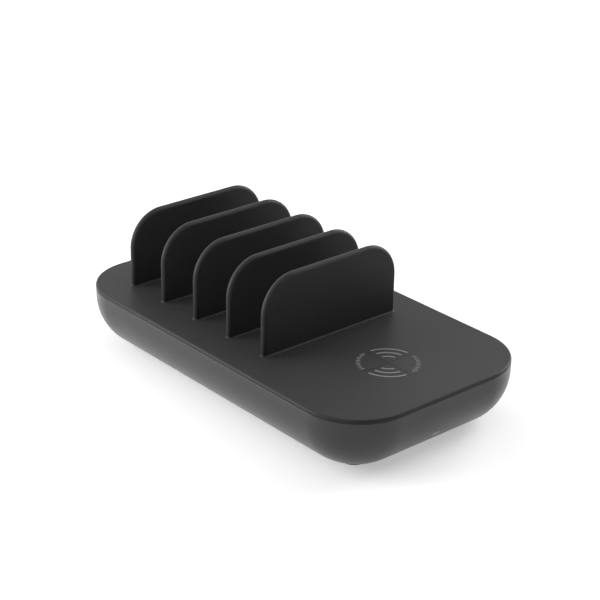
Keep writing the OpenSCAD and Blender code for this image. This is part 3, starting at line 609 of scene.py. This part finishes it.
class Shader:
    """One material or world, built node by node."""

    def __init__(self, owner):
        owner.use_nodes = True
        self.tree = owner.node_tree
        self.tree.nodes.clear()

    def node(self, kind, settings=None, inputs=None, output=0):
        """Adds a node of a type, gives it its settings, then the values or links of its sockets."""
        made = self.tree.nodes.new(kind)
        for name, value in (settings or {}).items():
            setattr(made, name, value)
        for key, value in (inputs or {}).items():
            if isinstance(value, Socket):
                self.tree.links.new(value.link, made.inputs[key])
            else:
                made.inputs[key].default_value = value
        return Socket(self, made.outputs[output]) if made.outputs else None

    def place(self):
        """The object's own coordinates."""
        return self.node("ShaderNodeTexCoord", output="Object")

    def noise(self, size, detail=2, stretch=None):
        """Even noise from 0 to 1 whose lumps are about size across, drawn out by stretch."""
        where = self.place()
        if stretch:
            where = self.node("ShaderNodeMapping", inputs={"Vector": where, "Scale": stretch})
        return self.node("ShaderNodeTexNoise", inputs={"Vector": where, "Scale": 1 / size, "Detail": detail})

    def maths(self, operation, first, second=0.0):
        """One Math node on one or two values."""
        return self.node("ShaderNodeMath", {"operation": operation}, {0: first, 1: second})

    def fade(self, value, full, none):
        """1 below one value and 0 above the other, with a smooth step between them."""
        return self.node("ShaderNodeMapRange", {"interpolation_type": "SMOOTHSTEP"}, {
            "Value": value, "From Min": full, "From Max": none, "To Min": 1, "To Max": 0})

    def plan(self):
        """The level distances x and y from the pad's middle."""
        parts = self.node("ShaderNodeSeparateXYZ", inputs={"Vector": self.place()}).link.node.outputs
        return Socket(self, parts["X"]), Socket(self, parts["Y"]) - float(MARK_MIDDLE[1])

    def speckle(self, size):
        """Fine noise drawn out to its full range, whose lumps are about size across."""
        return self.fade(self.noise(size, detail=3), SPECKLE_LOW, SPECKLE_HIGH)

    def blend(self, amount, first, second):
        """A colour between two colours."""
        return self.node("ShaderNodeMix", {"data_type": "RGBA"}, {0: amount, 6: first, 7: second}, output=2)

    def bump(self, height, depth):
        """A normal that a height from 0 to 1 tips as a relief of that depth."""
        return self.node("ShaderNodeBump", inputs={"Height": height, "Distance": depth, "Strength": 1})

    def seen(self):
        """1 for rays from the camera and in a gloss or a clear body, 0 for those that carry light."""
        paths = self.node("ShaderNodeLightPath").link.node.outputs
        camera, gloss, clear = (Socket(self, paths[name]) for name in (
            "Is Camera Ray", "Is Glossy Ray", "Is Transmission Ray"))
        return camera + gloss + clear

    def surface(self, **inputs):
        """The principled surface, with its inputs by name, and the material's output."""
        named = {key.replace("_", " ").title().replace("Ior", "IOR"): value for key, value in inputs.items()}
        made = self.node("ShaderNodeBsdfPrincipled", inputs=named)
        self.node("ShaderNodeOutputMaterial", inputs={"Surface": made})


def rgb(r, g=None, b=None):
    """An opaque colour, grey where one value is given."""
    return (r, r if g is None else g, r if b is None else b, 1)


def fresh(name):
    """A new material by name."""
    return Shader(bpy.data.materials.new(name))


def cross_mask(s):
    """1 on the two thin lines that cross in the mark's middle, fading out past its outer arcs."""
    x, y = s.plan()
    reach = (x * x + y * y) ** 0.5
    near = s.maths("MINIMUM", s.maths("ABSOLUTE", x), s.maths("ABSOLUTE", y))
    line = s.fade(near, MARK_CROSS_W / 2, MARK_CROSS_W)
    return line * s.fade(reach, MARK_RADII[-1] - MARK_GAP, MARK_RADII[-1])


def cover_plastic():
    """Soft-touch matte plastic: nearly black, with a fine even grain and a slight sheen at a low angle, and
    darker along the two thin lines that cross in the mark's middle."""
    s = fresh("cover_plastic")
    cloud = s.noise(28 * MM, detail=3)
    grain = s.speckle(0.3 * MM)
    plain = s.blend(0.5 * cloud + 0.5 * grain, rgb(0.024), rgb(0.037))
    s.surface(base_color=s.blend(0.8 * cross_mask(s), plain, rgb(0.004)), roughness=0.44 + 0.05 * cloud,
              specular_ior_level=0.13, normal=s.bump(grain, 0.012 * MM))


def shell_plastic():
    """Satin moulded plastic, dark grey, with a fine spark-eroded grain."""
    s = fresh("shell_plastic")
    cloud = s.noise(22 * MM, detail=3)
    grain = s.speckle(0.35 * MM)
    s.surface(base_color=s.blend(0.5 * cloud + 0.5 * grain, rgb(0.024), rgb(0.037)),
              roughness=0.28 + 0.03 * cloud + 0.02 * grain, specular_ior_level=0.43,
              normal=s.bump(grain, 0.012 * MM))


def plain_plastic(name, dark, light, roughness, grain_size=0.25 * MM, depth=0.005 * MM):
    """Moulded plastic between two tones with a fine grain."""
    s = fresh(name)
    cloud = s.noise(9 * MM, detail=3)
    s.surface(base_color=s.blend(cloud, dark, light), roughness=roughness + 0.08 * cloud,
              normal=s.bump(s.noise(grain_size), depth))


def brushed_metal(name, dark, light, roughness, stretch):
    """Metal with fine marks drawn out along one axis."""
    s = fresh(name)
    marks = s.noise(0.5 * MM, detail=4, stretch=stretch)
    s.surface(base_color=s.blend(marks, dark, light), metallic=1.0, roughness=roughness + 0.16 * marks,
              normal=s.bump(marks, 0.002 * MM))


def coil_copper():
    """Enamelled copper wire wound flat, one turn beside the next, with painted shade towards the grooves."""
    s = fresh("coil_copper")
    x, y = s.plan()
    crest_and_groove_shade = s.maths("PINGPONG", (x * x + y * y) ** 0.5, COIL_TURN_W / 2) / (COIL_TURN_W / 2)
    marks = s.noise(0.5 * MM, detail=4)
    # painted shade: the colour runs from near black in each groove up to the copper's own tone at each turn's
    # crest; the same profile also bumps the surface
    s.surface(base_color=s.blend(crest_and_groove_shade ** 0.5, rgb(0.1, 0.03, 0.012), rgb(0.56, 0.2, 0.08)), metallic=1.0,
              roughness=0.25 + 0.12 * marks, normal=s.bump(crest_and_groove_shade ** 0.5, 0.3 * MM))


def capacitor_sleeve():
    """Dark blue sleeve shrunk over a can, whose bare top shows."""
    s = fresh("capacitor_sleeve")
    facing = s.node("ShaderNodeNewGeometry", output="Normal")
    facing_up = s.node("ShaderNodeSeparateXYZ", inputs={"Vector": facing}, output="Z")
    bare = s.maths("GREATER_THAN", facing_up, FACING_UP)
    cloud = s.noise(9 * MM, detail=3)
    sleeve = s.blend(cloud, rgb(0.016, 0.03, 0.09), rgb(0.024, 0.045, 0.12))
    s.surface(base_color=s.blend(bare, sleeve, rgb(0.42)), metallic=bare, roughness=0.28 + 0.08 * cloud,
              normal=s.bump(s.noise(0.3 * MM), 0.005 * MM))


def board_laminate():
    """Green solder mask with copper tracks just showing under it."""
    s = fresh("board_laminate")
    tracks = s.node("ShaderNodeTexVoronoi", {"distance": "CHEBYCHEV"}, {
        "Vector": s.place(), "Scale": 1 / TRACK_PITCH})
    line = s.maths("LESS_THAN", tracks, TRACK_REACH)
    s.surface(base_color=s.blend(line, rgb(0.012, 0.085, 0.04), rgb(0.02, 0.13, 0.06)), roughness=0.35,
              normal=s.bump(line, 0.03 * MM))


def ferrite():
    """Dull sintered sheet with fine specks."""
    s = fresh("ferrite")
    speck = s.noise(0.4 * MM, detail=4)
    s.surface(base_color=s.blend(speck, rgb(0.03), rgb(0.05)), roughness=0.6 + 0.15 * speck,
              normal=s.bump(speck, 0.02 * MM))


def foot_rubber():
    """Black rubber, matte, with an uneven fine grain."""
    s = fresh("foot_rubber")
    grain = s.noise(0.5 * MM, detail=4)
    s.surface(base_color=s.blend(grain, rgb(0.011), rgb(0.02)), roughness=0.72 + 0.15 * grain,
              specular_ior_level=0.35, normal=s.bump(grain, 0.03 * MM))


def make_materials():
    """One finish for each material slot of the record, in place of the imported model's flat colours."""
    for plain in list(bpy.data.materials):
        bpy.data.materials.remove(plain)
    cover_plastic()
    shell_plastic()
    board_laminate()
    ferrite()
    foot_rubber()
    coil_copper()
    capacitor_sleeve()
    plain_plastic("print_ink", rgb(0.17), rgb(0.2), 0.5)
    plain_plastic("lens_plastic", rgb(0.34, 0.35, 0.36), rgb(0.42, 0.43, 0.44), 0.25)
    plain_plastic("led_plastic", rgb(0.8, 0.78, 0.62), rgb(0.86, 0.84, 0.7), 0.3)
    plain_plastic("outlet_plastic", rgb(0.011), rgb(0.018), 0.42)
    plain_plastic("inductor_core", rgb(0.08, 0.08, 0.085), rgb(0.12, 0.12, 0.125), 0.6, 0.5 * MM, 0.02 * MM)
    plain_plastic("chip_resin", rgb(0.01), rgb(0.016), 0.5, 0.3 * MM, 0.01 * MM)
    plain_plastic("socket_plastic", rgb(0.7, 0.67, 0.58), rgb(0.78, 0.75, 0.67), 0.4)
    plain_plastic("ribbon_film", rgb(0.62, 0.62, 0.58), rgb(0.7, 0.7, 0.66), 0.3)
    brushed_metal("outlet_metal", rgb(0.34, 0.34, 0.335), rgb(0.52, 0.52, 0.51), 0.2, (1, 8, 8))
    brushed_metal("capacitor_can", rgb(0.34, 0.34, 0.345), rgb(0.52, 0.52, 0.53), 0.24, (8, 8, 1))
    brushed_metal("carrier_aluminium", rgb(0.3), rgb(0.46), 0.34, (8, 1, 8))
    brushed_metal("case_screw_steel", rgb(0.025), rgb(0.045), 0.36, (4, 4, 4))
    brushed_metal("small_screw_steel", rgb(0.26), rgb(0.4), 0.3, (4, 4, 4))


def dress(piece, slot):
    """Gives a piece the finish of a material slot."""
    piece.data.materials.clear()
    piece.data.materials.append(bpy.data.materials[slot])


def dress_nodes():
    """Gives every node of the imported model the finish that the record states."""
    for part in frame["record"]["subparts"]:
        dress(NODES[part["node"]], part["material_slot"])


def new_piece(piece, slot, *replaced):
    """Gives a new piece its finish and hides the nodes that it stands for."""
    dress(piece, slot)
    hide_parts(*replaced)


def floor():
    """A wide plain floor, nearly white. Seen directly or in a gloss it is lighter than its light makes it,
    a little near the stand, where it keeps the soft shadow, and more away from it, so that it runs into the
    white background."""
    mesh = bpy.data.meshes.new("floor")
    corners = [(x * FLOOR_HALF, y * FLOOR_HALF, 0) for x, y in ((-1, -1), (1, -1), (1, 1), (-1, 1))]
    mesh.from_pydata(corners, [], [(0, 1, 2, 3)])
    piece = bpy.data.objects.new("floor", mesh)
    bpy.context.scene.collection.objects.link(piece)
    s = fresh("floor_white")
    paint = s.node("ShaderNodeBsdfDiffuse", inputs={"Color": rgb(FLOOR_WHITE)})
    reach = s.node("ShaderNodeVectorMath", {"operation": "LENGTH"}, {0: s.place()}, output="Value")
    extra = 1 - (1 - FLOOR_LIFT) * s.fade(reach, LIFT_FROM, LIFT_TO)
    lift = s.node("ShaderNodeEmission", inputs={"Color": rgb(1), "Strength": extra * s.seen()})
    both = s.node("ShaderNodeAddShader", inputs={0: paint, 1: lift})
    s.node("ShaderNodeOutputMaterial", inputs={"Surface": both})
    mesh.materials.append(bpy.data.materials["floor_white"])


def world():
    """White where it is seen, and a faint even light everywhere."""
    made = bpy.data.worlds.new("studio")
    bpy.context.scene.world = made
    s = Shader(made)
    strength = SKY_LIGHT + (1 - SKY_LIGHT) * s.seen()
    sky = s.node("ShaderNodeBackground", inputs={"Color": rgb(1), "Strength": strength})
    s.node("ShaderNodeOutputWorld", inputs={"Surface": sky})


def softbox(name, place, side, power):
    """A square lamp that looks at the stand's middle."""
    data = bpy.data.lights.new(name, "AREA")
    data.shape = "SQUARE"
    data.size = side
    data.energy = power
    piece = bpy.data.objects.new(name, data)
    piece.location = place
    aim = Vector(place) - Vector((0, 0, SEAM_Z))
    piece.rotation_euler = aim.to_track_quat("Z", "Y").to_euler()
    bpy.context.scene.collection.objects.link(piece)


def lights():
    """A wide softbox overhead, smaller ones behind and on both sides, in a white room that shows in
    every gloss."""
    softbox("overhead", (0, 0, 1.2), 1.9, 8.8)
    softbox("back", (0, 1, 0.6), 0.7, 1.7)
    softbox("back_left", (-0.67, 0.72, 0.5), 0.62, 6.8)
    softbox("low_left", (-1.15, 0.75, 0.3), 0.6, 11.6)
    softbox("right", (0.9, -0.1, 0.45), 0.7, 9.4)


def camera():
    """The photograph's view: a long lens that looks down on the near left corner, turned a little."""
    azimuth, elevation, roll = np.radians([CAMERA_AZIMUTH, CAMERA_ELEVATION, CAMERA_ROLL])
    back = np.array([np.sin(azimuth) * np.cos(elevation), -np.cos(azimuth) * np.cos(elevation),
                     np.sin(elevation)])
    right = np.cross((0, 0, 1), back)
    right /= np.linalg.norm(right)
    up = np.cross(back, right)
    right, up = (np.cos(roll) * right + np.sin(roll) * up, -np.sin(roll) * right + np.cos(roll) * up)
    data = bpy.data.cameras.new("camera")
    data.sensor_width = CAMERA_SENSOR
    data.lens = CAMERA_LENS
    data.clip_start = CAMERA_CLIP
    piece = bpy.data.objects.new("camera", data)
    bpy.context.scene.collection.objects.link(piece)
    turn = np.column_stack([right, up, back])
    place = CAMERA_TARGET + CAMERA_DISTANCE * back
    piece.matrix_world = Matrix.Translation(place) @ Matrix(turn.tolist()).to_4x4()
    bpy.context.scene.camera = piece


bpy.context.scene.view_settings.view_transform = "Standard"
camera()
world()
lights()
make_materials()
floor()
dress_nodes()
new_piece(top_cover(), "cover_plastic", "top_cover")
new_piece(lower_shell(), "shell_plastic", "lower_shell")
new_piece(pad_mark(), "print_ink", "pad_mark")
